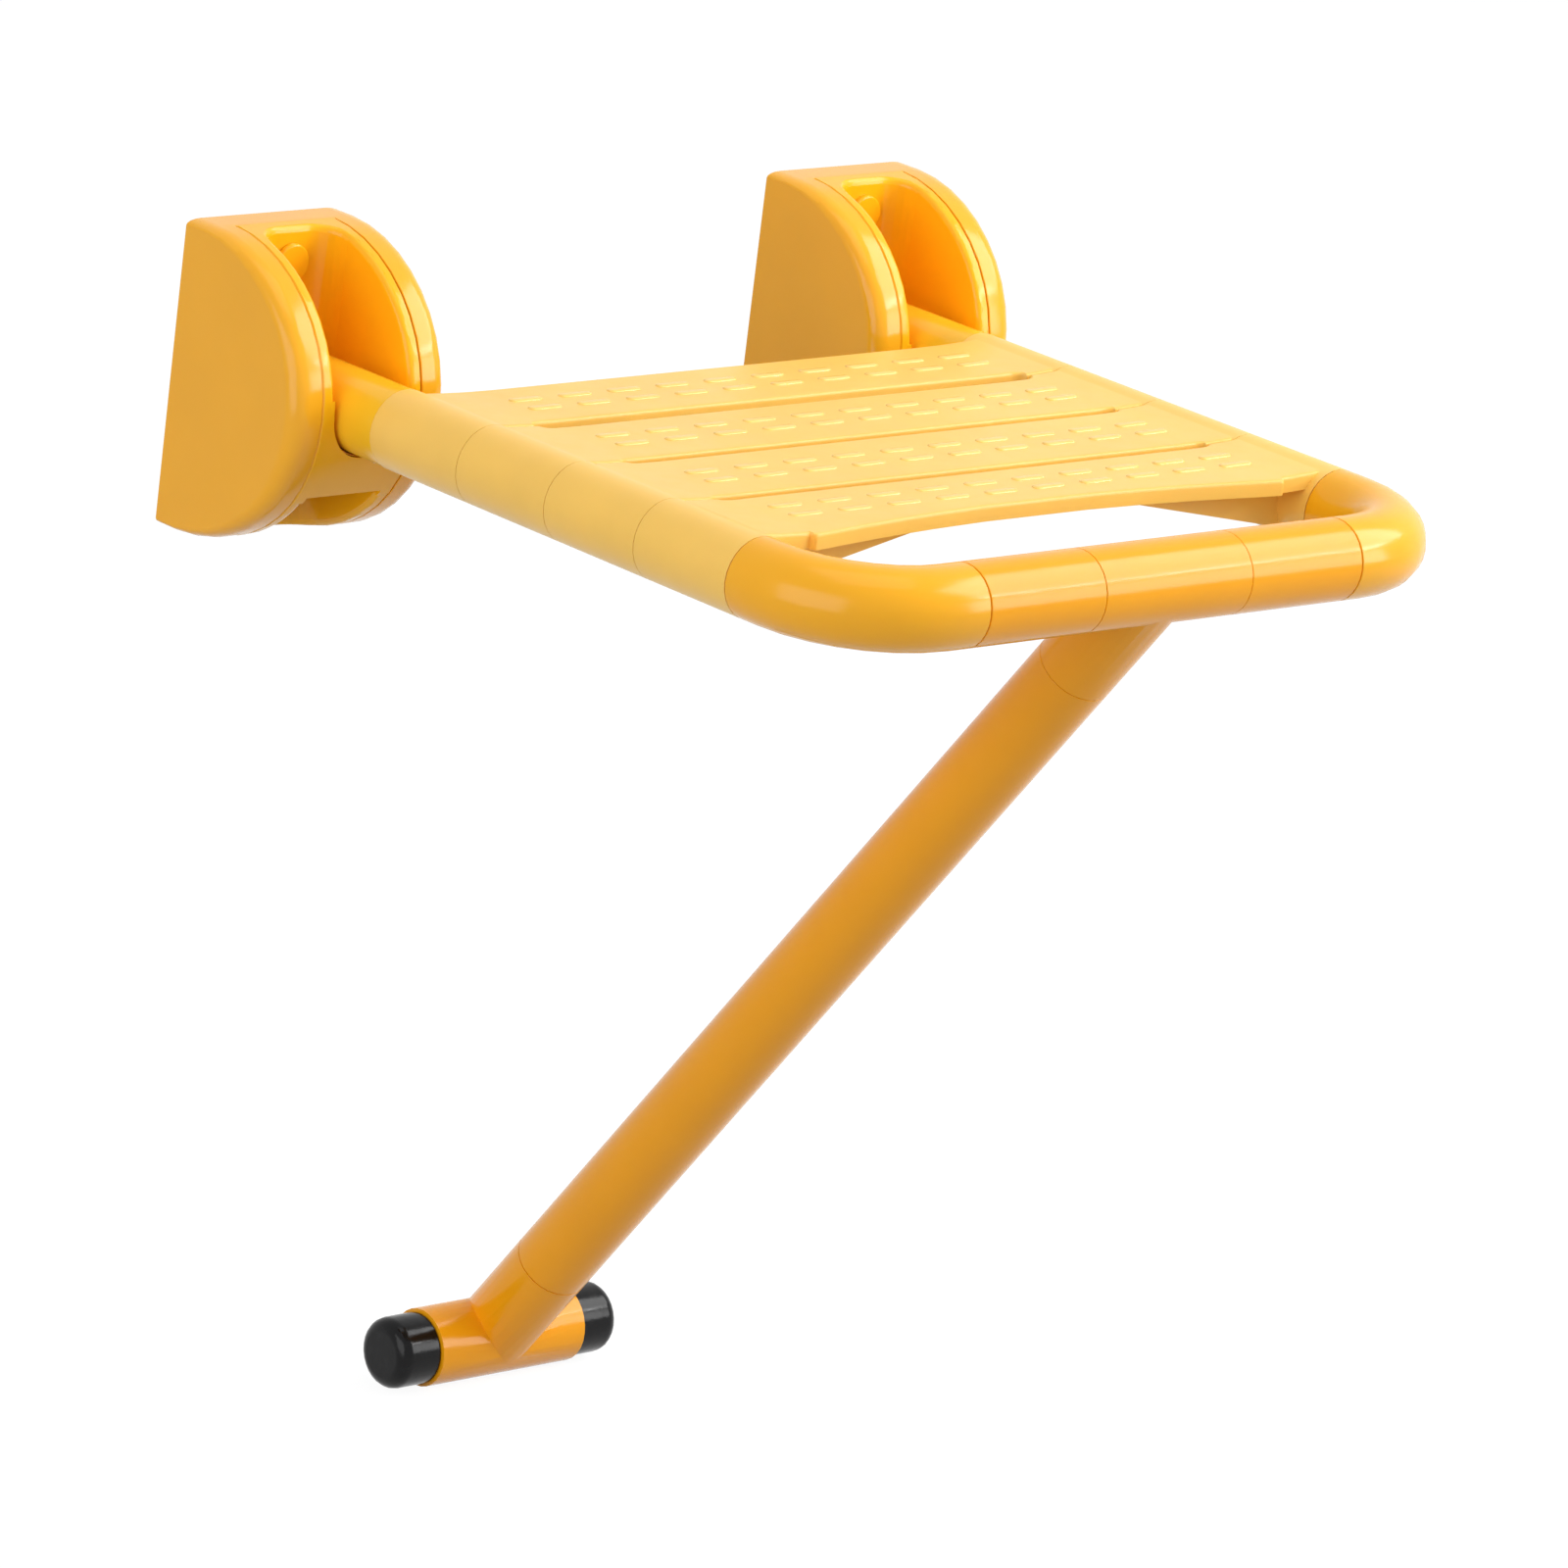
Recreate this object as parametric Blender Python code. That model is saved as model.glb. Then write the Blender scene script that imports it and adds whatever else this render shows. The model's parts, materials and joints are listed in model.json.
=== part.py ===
# Wall-mounted folding shower bench.
#
# Two moulded brackets hold the hinge pins. A U-shaped steel tube in nylon sleeves
# carries four moulded slats and folds up against the wall. One brace leg turns on
# the front rail and stands on a foot bar with two rubber caps.
#
# The frame of the model, in metres: the wall is the plane y = 0, the seat points
# to -Y, +X is to the right, +Z is up, and the hinge pins lie at z = 0.

import math

import bmesh
import bpy
from mathutils import Matrix, Vector

# Clearances
seat_gap = 0.0003            # between two pieces that touch
running_gap = 0.0001         # around the hinge pins
front_seam = 0.0006          # between an elbow and the front rail's sleeve
socket_gap = 0.0003          # around a tube in a sleeve or a tee

# Seat frame
rail_spacing = 0.325         # between the axes of the two side rails
sleeve_radius = 0.0175       # outside of every sleeve, elbow and tee
core_radius = 0.0127         # outside of the steel tubes
core_wall = 0.0015
hinge_from_wall = 0.042
hinge_to_slats = 0.062       # from the hinge pins to the rear slat's sleeves
slat_count = 4
slat_pitch = 0.056
elbow_reach = 0.058          # from the corner of the frame to an elbow's end
elbow_bend = 0.047           # bend radius of the tube's axis

# Slats
slat_top = 0.0152            # height of the flat middle above the rail axis
slat_rim = 0.0012            # rise of the top where it runs into the rails
slat_thickness = 0.0070
slat_flat_half = 0.120       # half length of the flat middle
slot_half = 0.1395           # half length of the drain slots
rear_slot_recess = 0.0045    # how far the slats' edges step back at the rearmost slot
slot_recess = 0.0026         # and at the other slots
slot_end = 0.006             # length of a slot's rounded end
crease = 0.0004              # step back of the top where two slats meet
rear_edge_step = 0.0036      # the seat's rear edge lies this far in front of its sleeves' ends
rail_edge_inset = 0.0075     # the top runs into a rail this far inside the rail's axis
front_middle = 0.0123        # step back of the bowed front lip in its middle
front_ends = 0.0008          # and at its ends
front_lip_half = 0.1325      # half length of the front lip
front_lip_round = 0.0020     # rounding of the lip's ends
front_notch = 0.0038         # step back of the front edge between the lip and the rails
notch_side = 0.0004          # width of the step's side, seen from above
edge_round = 0.0018
rib_thickness = 0.003
rib_inset = 0.0125           # from a slat's end to its rib
front_rib_behind = 0.004     # the foremost rib lies this far behind the deepest bow
rib_least = 0.0012           # depth of the ribs in the middle
rib_depth = 0.0175           # how much deeper the ribs are at the rails
rib_flat_half = 0.058        # half length of the shallow middle, clear of the leg

# Brace leg
leg_angle = math.radians(37.5)   # from the vertical, towards the wall
leg_length = 0.563           # from the front rail's axis to the foot bar's axis
tee_half = 0.041             # half length of a tee's sleeve
tee_stub = 0.0585            # from a tee's axis to the end of its stub
stub_radius = 0.0173
leg_socket = 0.018           # from a tee's axis to the end of the leg's tube
cap_length = 0.0215
cap_radius = 0.0160
cap_round = 0.0060
cap_lip = 0.0006             # small edge of a cap, next to the tee
cap_floor = 0.0035
foot_tube_short = 0.0045     # the foot tube ends this far inside the caps' faces

# Hinge arms
arm_radius = 0.0172
arm_boss_rise = 0.0002       # the flat bosses round the pin stand out from the arm by this
arm_socket = 0.032           # how deep the frame tube sits in an arm
pin_radius = 0.0050
pin_seat = 0.0040            # length of the pin in each wall of the bracket's core
washer_radius = 0.0105       # also the radius of the arm's bosses
washer_thickness = 0.0020

# Wall brackets
bracket_width = 0.082
bracket_half_height = 0.0663
bracket_straight = 0.0125    # flat part of the top and bottom, next to the wall
bracket_bulge = 0.0712       # from there to the front of the curve
bracket_round = 0.0075       # rounding of the outer edges at the front of the curve
round_at_wall = 0.35         # share of that rounding that is left at the wall
shell_wall = 0.0035
roof_depth = 0.0150          # depth of the cover's bridge behind the channel
roof_thickness = 0.0040
rear_slot_overlap = 0.0050   # the cover's rear and front slots share this length
channel_corner = 0.0120      # rounding of the channel's rear corners
rim_round = 0.0028           # rounding of the channel's rim
rim_from_cradle = 0.0080     # height at which the upper rim's rounding starts
rim_from_web = 0.0030        # the lower rim's rounding starts this far below the web
channel_back = 0.0210        # from the wall to the channel's back
core_side = 0.0065           # thickness of the channel's side walls
core_chamfer = 0.0009
base_half = 0.0258           # half width of the core behind the cover's bridge
base_overlap = 0.0010        # the core's base and front share this length
plate_thickness = 0.0030
plate_half_width = 0.0235
plate_inset = 0.0073         # from the bracket's top to the wall plate's top
pocket_half_width = 0.0170
pocket_half_height = 0.0360
pocket_floor = 0.0050
web_back = 0.0620            # from the wall to the back of the web under the arm
web_low = 0.0370             # lower edge of the web, below the hinge
cradle_rise = 0.0015         # centre of the web's round notch above the hinge
pad_clearance = 0.0006       # between the arm and its rest pad
pad_half_angle = math.radians(34.0)
pad_edge = 0.0010            # the rest pad ends this far inside the web

# Fasteners
wall_screw_inset = 0.0163    # from the bracket's top to the upper wall screw's axis
wall_screw_radius = 0.0028
wall_screw_head = 0.0055
wall_screw_head_depth = 0.0030
wall_screw_head_top = 0.0039 # radius of the flat on a screw's head
wall_hole_radius = 0.0032
recess_radius = 0.0070
recess_depth = 0.0070
screw_cap_radius = 0.0086
screw_cap_rise = 0.0026
screw_cap_round = 0.0012
screw_cap_plug = 0.0020
set_screw_radius = 0.0021
set_screw_hole = 0.0023
set_screw_proud = 0.0006
arm_screw_from_slats = 0.014 # from the rear slat's sleeve to the set screw's axis
leg_screw_from_axis = 0.046

# Fineness of the round shapes
sides = 28
bore_sides = 20
small_sides = 20
tube_sides = 16
notch_sides = 40
set_screw_sides = 12
profile_steps = 20
edge_steps = 4
corner_steps = 6
rim_steps = 9
rim_round_steps = 3
arm_end_steps = 6
pad_steps = 8
slot_end_steps = 4
lip_end_steps = 3
bend_steps = 7
close_corners = 0.00002      # corners nearer than this become one
past = 0.01                  # how far a cutting shape runs past what it cuts
rim_past = 0.003             # the same, for the shape that rounds the rims
rim_shift = 0.00005          # it starts this far inside the channel, for a clean cut

# Places that follow from the sizes
plate_half_height = bracket_half_height - plate_inset
wall_screw_height = bracket_half_height - wall_screw_inset
bracket_reach = bracket_straight + bracket_bulge
arm_boss_half = arm_radius + arm_boss_rise
channel_half = arm_boss_half + washer_thickness + 2 * seat_gap
front_rail_y = -(hinge_from_wall + hinge_to_slats + slat_count * slat_pitch + elbow_reach)
slats_rear_y = -(hinge_from_wall + hinge_to_slats)
bore_radius = core_radius + socket_gap
rail_x = rail_spacing / 2
core_half = channel_half + core_side
cover_slot_half = core_half + seat_gap
recess_floor = channel_back - recess_depth

# Colours
cover_yellow = (0.84, 0.40, 0.050)
sleeve_yellow = (0.86, 0.42, 0.060)
slat_yellow = (0.90, 0.50, 0.120)
joint_yellow = (0.84, 0.41, 0.035)
steel_grey = (0.62, 0.62, 0.63)
rubber_black = (0.012, 0.012, 0.013)


def material(name, colour, roughness, metallic=0.0):
    made = bpy.data.materials.new(name)
    made.use_nodes = True
    shader = made.node_tree.nodes["Principled BSDF"]
    shader.inputs["Base Color"].default_value = (*colour, 1.0)
    shader.inputs["Roughness"].default_value = roughness
    shader.inputs["Metallic"].default_value = metallic
    made.diffuse_color = (*colour, 1.0)
    return made


def new_object(name, mesh, colour, roughness, metallic=0.0):
    piece = bpy.data.objects.new(name, mesh)
    bpy.context.scene.collection.objects.link(piece)
    mesh.materials.clear()
    mesh.materials.append(material(name, colour, roughness, metallic))
    return piece


def cutter_object(mesh):
    piece = bpy.data.objects.new("cutter", mesh)
    bpy.context.scene.collection.objects.link(piece)
    piece.hide_render = True
    piece.display_type = "WIRE"
    return piece


def mesh_from_bmesh(bm, name):
    bmesh.ops.recalc_face_normals(bm, faces=bm.faces)
    mesh = bpy.data.meshes.new(name)
    bm.to_mesh(mesh)
    bm.free()
    return mesh


def loft(name, rings, closed=False):
    """Skin a row of rings that have equally many points. Open rows get flat ends."""
    bm = bmesh.new()
    rows = [[bm.verts.new(point) for point in ring] for ring in rings]
    pairs = list(zip(rows, rows[1:]))
    if closed:
        pairs.append((rows[-1], rows[0]))
    count = len(rows[0])
    for first, second in pairs:
        for i in range(count):
            j = (i + 1) % count
            bm.faces.new((first[i], first[j], second[j], second[i]))
    if not closed:
        bm.faces.new(rows[0])
        bm.faces.new(rows[-1])
    return mesh_from_bmesh(bm, name)


def circle(centre, along, radius, count, start=None):
    """Points of a circle around a centre, square to a direction."""
    along = Vector(along).normalized()
    side = Vector(start) if start else Vector((0, 0, 1))
    side = (side - along * side.dot(along)).normalized()
    other = along.cross(side)
    points = []
    for i in range(count):
        angle = 2 * math.pi * i / count
        points.append(Vector(centre) + radius * (math.cos(angle) * side + math.sin(angle) * other))
    return points


def rod(name, start, end, radius, count=sides, reference=(0, 0, 1)):
    along = Vector(end) - Vector(start)
    if abs(along.normalized().dot(Vector(reference))) > 0.99:
        reference = (0, 1, 0)
    rings = [circle(p, along, radius, count, reference) for p in (start, end)]
    return loft(name, rings)


def pipe(name, path, directions, outer, inner, count, reference):
    """A tube with a bore that follows a path, with flat ends."""
    outside = [circle(p, d, outer, count, reference) for p, d in zip(path, directions)]
    inside = [circle(p, d, inner, count, reference) for p, d in zip(path, directions)]
    return loft(name, outside + inside[::-1], closed=True)


def turned(name, outline, place, count):
    """Turn an outline of (radius, height) points round its axis, and move it to its place."""
    bm = bmesh.new()
    rows = []
    for radius, height in outline:
        if radius == 0:
            rows.append([bm.verts.new(place @ Vector((0, 0, height)))])
            continue
        ring = []
        for i in range(count):
            angle = 2 * math.pi * i / count
            point = Vector((radius * math.cos(angle), radius * math.sin(angle), height))
            ring.append(bm.verts.new(place @ point))
        rows.append(ring)
    if outline[0] == outline[-1]:
        for vert in rows[-1]:
            bm.verts.remove(vert)
        rows[-1] = rows[0]
    for first, second in zip(rows, rows[1:]):
        if len(first) == len(second) == 1:
            continue
        for i in range(count):
            j = (i + 1) % count
            corners = [first[i % len(first)], first[j % len(first)]]
            corners += [second[j % len(second)], second[i % len(second)]]
            bm.faces.new(list(dict.fromkeys(corners)))
    return mesh_from_bmesh(bm, name)


def box(name, low, high):
    bm = bmesh.new()
    bmesh.ops.create_cube(bm, size=1.0)
    low, high = Vector(low), Vector(high)
    for vert in bm.verts:
        share = vert.co + Vector((0.5, 0.5, 0.5))
        vert.co = Vector([low[i] + share[i] * (high[i] - low[i]) for i in range(3)])
    return mesh_from_bmesh(bm, name)


def merge_close_corners(mesh):
    """A cut can leave two corners almost in one place. They become one."""
    bm = bmesh.new()
    bm.from_mesh(mesh)
    bmesh.ops.remove_doubles(bm, verts=bm.verts, dist=close_corners)
    bmesh.ops.dissolve_degenerate(bm, edges=bm.edges, dist=close_corners)
    bm.to_mesh(mesh)
    bm.free()


def combine(piece, mesh, operation):
    """Join or cut a piece with a mesh, and keep the result as the piece's own mesh."""
    tool = cutter_object(mesh)
    modifier = piece.modifiers.new("shape", "BOOLEAN")
    modifier.solver = "EXACT"
    modifier.operation = operation
    modifier.object = tool
    graph = bpy.context.evaluated_depsgraph_get()
    result = bpy.data.meshes.new_from_object(piece.evaluated_get(graph))
    piece.modifiers.clear()
    merge_close_corners(result)
    result.materials.clear()
    result.materials.append(piece.data.materials[0])
    piece.data = result
    bpy.data.objects.remove(tool)


def join(piece, mesh):
    combine(piece, mesh, "UNION")


def cut(piece, mesh):
    combine(piece, mesh, "DIFFERENCE")


def smooth(piece, angle=35.0):
    piece.data.shade_smooth()
    piece.data.set_sharp_from_angle(angle=math.radians(angle))


def keep_place(piece, parent):
    """Parent a piece and leave it where it was built."""
    piece.parent = parent
    piece.matrix_parent_inverse = parent.matrix_world.inverted()


def joint_axis(name, place, parent=None):
    empty = bpy.data.objects.new(name, None)
    bpy.context.scene.collection.objects.link(empty)
    empty.location = place
    bpy.context.view_layer.update()
    if parent:
        keep_place(empty, parent)
        bpy.context.view_layer.update()
    return empty


# Wall brackets

def bracket_outline(inset, back, share_at_wall=1.0):
    """Side view of a bracket as (y, z) points: flat top and bottom, elliptic front.

    The outline can be drawn inside the full one. Where the share is less than one, that
    inset is smaller at the wall than at the front.
    """
    half_turn = math.pi / 2
    if back > bracket_straight:
        half_turn = math.acos((back - bracket_straight) / bracket_bulge)
    points = []
    for i in range(profile_steps + 1):
        angle = half_turn * (2 * i / profile_steps - 1)
        normal = Vector((math.cos(angle) / bracket_bulge, math.sin(angle) / bracket_half_height))
        normal.normalize()
        here = inset * (share_at_wall + (1 - share_at_wall) * math.cos(angle))
        forward = bracket_straight + bracket_bulge * math.cos(angle) - here * normal[0]
        up = bracket_half_height * math.sin(angle) - here * normal[1]
        points.append((-max(forward, back), up))
    if back < bracket_straight:
        top = bracket_half_height - inset * share_at_wall
        points.insert(0, (-back, -top))
        points.append((-back, top))
    return points


def bracket_slab(name, centre_x, steps, back, share_at_wall=1.0):
    """A solid across X whose side view is the bracket's outline. Steps are (x, inset) pairs."""
    rings = []
    for x, inset in steps:
        outline = bracket_outline(inset, back, share_at_wall)
        rings.append([(centre_x + x, y, z) for y, z in outline])
    return loft(name, rings)


def rounded_edge_steps(half, radius, count):
    """Steps from the inside to the outside of a slab whose outer edge is rounded."""
    steps = []
    for i in range(count + 1):
        angle = math.pi / 2 * i / count
        steps.append((half - radius + radius * math.sin(angle), radius - radius * math.cos(angle)))
    return steps


def bracket_cover(side, centre_x):
    right = rounded_edge_steps(bracket_width / 2, bracket_round, edge_steps)
    left = [(-x, inset) for x, inset in reversed(right)]
    mesh = bracket_slab("cover", centre_x, left + right, 0, round_at_wall)
    piece = new_object("bracket_cover_" + side, mesh, cover_yellow, 0.28)
    reach = bracket_reach + past
    high = bracket_half_height + past
    low_x, high_x = centre_x - cover_slot_half, centre_x + cover_slot_half
    cut(piece, box("slot", (low_x, -reach, -high), (high_x, -roof_depth, high)))
    inner = bracket_half_height - roof_thickness
    rear = -roof_depth - rear_slot_overlap
    cut(piece, box("rear slot", (low_x, rear, -inner), (high_x, past, inner)))
    for sign in (-1, 1):
        near = cover_slot_half + shell_wall
        far = bracket_width / 2 - shell_wall
        steps = [(sign * near, shell_wall), (sign * far, shell_wall)]
        cut(piece, bracket_slab("hollow", centre_x, steps, -past))
    smooth(piece)
    return piece


def channel_plan(centre_x):
    """Plan view of the channel as (x, y) points, open to the front."""
    front = -bracket_reach - past
    points = [(centre_x - channel_half, front)]
    for sign in (-1, 1):
        for i in range(corner_steps + 1):
            turn = math.pi / 2 * (i if sign < 0 else corner_steps - i) / corner_steps
            x = centre_x + sign * (channel_half - channel_corner + channel_corner * math.cos(turn))
            y = -channel_back - channel_corner + channel_corner * math.sin(turn)
            points.append((x, y))
    points.append((centre_x + channel_half, front))
    return points


def channel_space(centre_x):
    """The space cut out of the core: the channel, less the web that bears the arm."""
    high = bracket_half_height + past
    plan = channel_plan(centre_x)
    space = cutter_object(loft("channel", [[(x, y, z) for x, y in plan] for z in (-high, high)]))
    space.data.materials.append(None)
    front = -bracket_reach - 2 * past
    web = cutter_object(box("web", (centre_x - core_half, front, -web_low),
                            (centre_x + core_half, -web_back, cradle_rise)))
    web.data.materials.append(None)
    ends = [(centre_x, y, cradle_rise) for y in (front - past, -web_back + past)]
    cut(web, rod("notch", ends[0], ends[1], channel_half, notch_sides))
    cut(space, web.data.copy())
    mesh = space.data.copy()
    bpy.data.objects.remove(web)
    bpy.data.objects.remove(space)
    return mesh


def rim_half_path(start_height):
    """One half of the channel's rim, as its places and its directions into the wall in plan view."""
    start = math.asin(start_height / bracket_half_height)
    end = math.acos((channel_back + channel_corner - bracket_straight) / bracket_bulge)
    path = []
    for i in range(rim_steps):
        turn = start + (end - start) * i / rim_steps
        path.append((channel_half, -bracket_straight - bracket_bulge * math.cos(turn), 1, 0))
    for i in range(corner_steps + 1):
        turn = math.pi / 2 * i / corner_steps
        x = channel_half - channel_corner + channel_corner * math.cos(turn)
        y = -channel_back - channel_corner + channel_corner * math.sin(turn)
        path.append((x, y, math.cos(turn), math.sin(turn)))
    return path


def rim_section():
    """Section of the shape that rounds a rim, as (into the wall, out of the bracket) pairs."""
    points = [(-rim_past, -rim_round), (-rim_past, rim_past), (rim_round, rim_past)]
    for i in range(rim_round_steps + 1):
        turn = math.pi / 2 * i / rim_round_steps
        points.append((rim_round * (1 - math.sin(turn)) - rim_shift, rim_round * (math.cos(turn) - 1)))
    return points


def rim_space(centre_x, up, start_height):
    """The strip that is cut from the rim of the channel's upper or lower mouth."""
    half = rim_half_path(start_height)
    path = half + [(-x, y, -wall_x, wall_y) for x, y, wall_x, wall_y in reversed(half)]
    rings = []
    for x, y, wall_x, wall_y in path:
        forward = -y - bracket_straight
        height = bracket_half_height * math.sqrt(1 - (forward / bracket_bulge) ** 2)
        out = Vector((0, -forward / bracket_bulge ** 2, height / bracket_half_height ** 2)).normalized()
        wall = Vector((wall_x, wall_y, 0))
        wall = (wall - out * wall.dot(out)).normalized()
        ring = [Vector((centre_x + x, y, height)) + wall * a + out * b for a, b in rim_section()]
        rings.append([(point.x, point.y, up * point.z) for point in ring])
    return loft("rim", rings)


def bracket_core(side, centre_x):
    back = roof_depth + seat_gap
    right = [(core_half - core_chamfer, 0), (core_half, core_chamfer)]
    left = [(-x, inset) for x, inset in reversed(right)]
    mesh = bracket_slab("core", centre_x, left + right, back)
    piece = new_object("bracket_core_" + side, mesh, joint_yellow, 0.30)
    inner = bracket_half_height - roof_thickness - seat_gap
    join(piece, box("base", (centre_x - base_half, -back - base_overlap, -inner),
                    (centre_x + base_half, -plate_thickness - seat_gap, inner)))
    cut(piece, channel_space(centre_x))
    cut(piece, rim_space(centre_x, 1, rim_from_cradle))
    cut(piece, rim_space(centre_x, -1, web_low + rim_from_web))
    cut_core_holes(piece, centre_x)
    smooth(piece)
    return piece


def cut_core_holes(piece, centre_x):
    reach = channel_half + pin_seat + seat_gap
    hinge = [(centre_x + s * reach, -hinge_from_wall, 0) for s in (-1, 1)]
    cut(piece, rod("pin hole", hinge[0], hinge[1], pin_radius + running_gap, small_sides))
    for sign in (-1, 1):
        z = sign * wall_screw_height
        ends = [(centre_x, y, z) for y in (-channel_back - past, past)]
        cut(piece, rod("screw hole", ends[0], ends[1], wall_hole_radius, small_sides))
        floor = (centre_x, -recess_floor, z)
        cut(piece, rod("recess", ends[0], floor, recess_radius, small_sides))
    low = (centre_x - pocket_half_width, -channel_back + pocket_floor, -pocket_half_height)
    cut(piece, box("pocket", low, (centre_x + pocket_half_width, past, pocket_half_height)))


def wall_plate(side, centre_x):
    mesh = box("plate", (centre_x - plate_half_width, -plate_thickness, -plate_half_height),
               (centre_x + plate_half_width, 0, plate_half_height))
    piece = new_object("wall_plate_" + side, mesh, steel_grey, 0.35, 1.0)
    for sign in (-1, 1):
        z = sign * wall_screw_height
        ends = [(centre_x, y, z) for y in (-past, past)]
        cut(piece, rod("hole", ends[0], ends[1], wall_hole_radius, small_sides))
    return piece


def outward(x, y, z):
    """A place whose own height runs out of the wall, to -Y."""
    return Matrix.Translation((x, y, z)) @ Matrix.Rotation(math.pi / 2, 4, "X")


def wall_screw(side, level, centre_x, z):
    seat = recess_floor + seat_gap
    top = seat + wall_screw_head_depth
    outline = [(0, 0), (wall_screw_radius, 0), (wall_screw_radius, seat), (wall_screw_head, seat),
               (wall_screw_head, (seat + top) / 2), (wall_screw_head_top, top), (0, top)]
    mesh = turned("screw", outline, outward(centre_x, 0, z), small_sides)
    piece = new_object("wall_screw_" + level + "_" + side, mesh, steel_grey, 0.3, 1.0)
    smooth(piece)
    return piece


def screw_cap(side, level, centre_x, z):
    plug = recess_radius - seat_gap
    face = channel_back + seat_gap
    top = channel_back + screw_cap_rise
    half = screw_cap_round * (1 - math.sqrt(0.5))
    outline = [(0, channel_back - screw_cap_plug), (plug, channel_back - screw_cap_plug), (plug, face),
               (screw_cap_radius, face), (screw_cap_radius, top - screw_cap_round),
               (screw_cap_radius - half, top - half),
               (screw_cap_radius - screw_cap_round, top), (0, top)]
    mesh = turned("cap", outline, outward(centre_x, 0, z), small_sides)
    piece = new_object("screw_cap_" + level + "_" + side, mesh, joint_yellow, 0.3)
    smooth(piece)
    return piece


def hinge_pin(side, centre_x):
    half = channel_half + pin_seat
    ends = [(centre_x + s * half, -hinge_from_wall, 0) for s in (-1, 1)]
    mesh = rod("pin", ends[0], ends[1], pin_radius, small_sides)
    piece = new_object("hinge_pin_" + side, mesh, steel_grey, 0.25, 1.0)
    smooth(piece)
    return piece


def washer(side, place, centre_x, sign):
    near = centre_x + sign * (arm_boss_half + seat_gap)
    far = centre_x + sign * (channel_half - seat_gap)
    path = [(near, -hinge_from_wall, 0), (far, -hinge_from_wall, 0)]
    hole = pin_radius + running_gap
    mesh = pipe("washer", path, [(1, 0, 0)] * 2, washer_radius, hole, small_sides, (0, 0, 1))
    piece = new_object("hinge_washer_" + place + "_" + side, mesh, joint_yellow, 0.4)
    smooth(piece)
    return piece


def rest_pad(side, centre_x):
    """A thin curved pad in the cradle, on which the arm rests when the seat is down."""
    outer = channel_half - seat_gap
    inner = arm_radius + pad_clearance
    front = -(bracket_straight + bracket_bulge * math.sqrt(1 - (channel_half / bracket_half_height) ** 2))
    rings = []
    for y in (front + pad_edge, -web_back - pad_edge):
        lower, upper = [], []
        for i in range(pad_steps + 1):
            angle = pad_half_angle * (2 * i / pad_steps - 1)
            lower.append((centre_x + outer * math.sin(angle), y, cradle_rise - outer * math.cos(angle)))
            upper.append((centre_x + inner * math.sin(angle), y, -inner * math.cos(angle)))
        rings.append(lower + upper[::-1])
    piece = new_object("rest_pad_" + side, loft("pad", rings), joint_yellow, 0.5)
    smooth(piece)
    return piece


def build_bracket(side, sign):
    centre_x = sign * rail_x
    bracket_cover(side, centre_x)
    bracket_core(side, centre_x)
    wall_plate(side, centre_x)
    for level, z in (("upper", wall_screw_height), ("lower", -wall_screw_height)):
        wall_screw(side, level, centre_x, z)
        screw_cap(side, level, centre_x, z)
    hinge_pin(side, centre_x)
    washer(side, "outer", centre_x, sign)
    washer(side, "inner", centre_x, -sign)
    rest_pad(side, centre_x)


# Seat

def hinge_arm(side, centre_x):
    """A round arm with a ball-shaped rear end and a flat boss on each side of the pin."""
    pin_y = -hinge_from_wall
    front = slats_rear_y + seat_gap
    outline = []
    for i in range(arm_end_steps):
        turn = math.pi / 2 * i / arm_end_steps
        outline.append((arm_radius * math.sin(turn), hinge_from_wall - arm_radius * math.cos(turn)))
    outline += [(arm_radius, hinge_from_wall), (arm_radius, -front), (0, -front)]
    mesh = turned("arm", outline, outward(centre_x, 0, 0), sides)
    piece = new_object("hinge_arm_" + side, mesh, joint_yellow, 0.26)
    boss = [(centre_x + s * arm_boss_half, pin_y, 0) for s in (-1, 1)]
    join(piece, rod("boss", boss[0], boss[1], washer_radius, small_sides))
    hole = [(centre_x + s * (arm_radius + past), pin_y, 0) for s in (-1, 1)]
    cut(piece, rod("pin hole", hole[0], hole[1], pin_radius + running_gap, small_sides))
    socket = [(centre_x, y, 0) for y in (front - past, front + arm_socket)]
    cut(piece, rod("socket", socket[0], socket[1], bore_radius, bore_sides))
    screw = [(centre_x, slats_rear_y + arm_screw_from_slats, z) for z in (0, -arm_radius - past)]
    cut(piece, rod("screw hole", screw[0], screw[1], set_screw_hole, set_screw_sides))
    smooth(piece)
    return piece


def frame_path():
    """The axis of the U-shaped tube, from the left arm round the front to the right arm."""
    start = slats_rear_y + arm_socket - seat_gap
    points = [Vector((-rail_x, start, 0))]
    directions = [Vector((0, -1, 0))]
    for corner in (-1, 1):
        centre = Vector((corner * (rail_x - elbow_bend), front_rail_y + elbow_bend, 0))
        for i in range(bend_steps + 1):
            turn = math.pi / 2 * i / bend_steps
            if corner > 0:
                turn = math.pi / 2 - turn
            out = Vector((corner * math.cos(turn), -math.sin(turn), 0))
            along = Vector((math.sin(turn), corner * math.cos(turn), 0))
            points.append(centre + elbow_bend * out)
            directions.append(along)
    points.append(Vector((rail_x, start, 0)))
    directions.append(Vector((0, 1, 0)))
    return points, directions


def frame_tube():
    points, directions = frame_path()
    inner = core_radius - core_wall
    mesh = pipe("frame", points, directions, core_radius, inner, tube_sides, (0, 0, 1))
    piece = new_object("frame_tube", mesh, steel_grey, 0.35, 1.0)
    smooth(piece)
    return piece


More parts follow.
